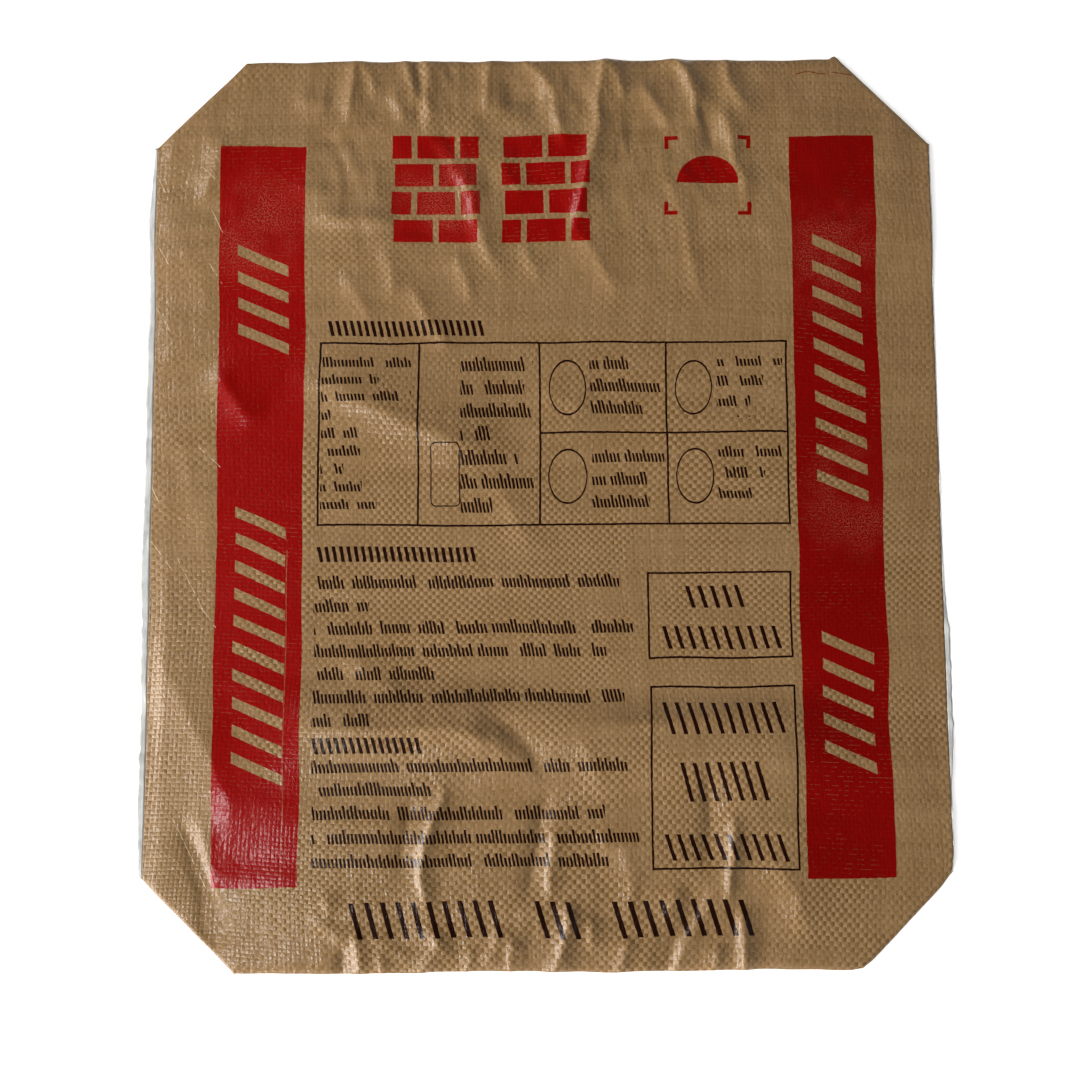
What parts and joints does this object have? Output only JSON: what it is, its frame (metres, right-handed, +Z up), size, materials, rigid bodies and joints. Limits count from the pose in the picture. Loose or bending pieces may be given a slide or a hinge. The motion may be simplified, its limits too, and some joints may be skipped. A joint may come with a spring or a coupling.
{
  "type": "cement bag",
  "caption": "Empty block-bottom valve bag of laminated woven polypropylene, lying flat, printed face up.",
  "frame": {"origin": "on the floor under the middle of the flat bag", "axes": "+Z up out of the printed face, +Y along the bag towards the filling end, +X to the right as the print is read"},
  "size_m": [0.51, 0.58, 0.0043],
  "materials": {
    "kraft_woven": "woven polypropylene tape, kraft brown, coated with a glossy film and printed",
    "patch_fabric": "woven polypropylene tape, kraft brown, coated, not printed",
    "coating_film": "thin milky polypropylene coating film"
  },
  "bodies": {
    "root": {"bag_tube": "kraft_woven", "top_cover_patch": "patch_fabric", "bottom_cover_patch": "patch_fabric", "valve_sheet": "patch_fabric", "coating_fin_left": "coating_film", "coating_fin_right": "coating_film"}
  },
  "joints": []
}
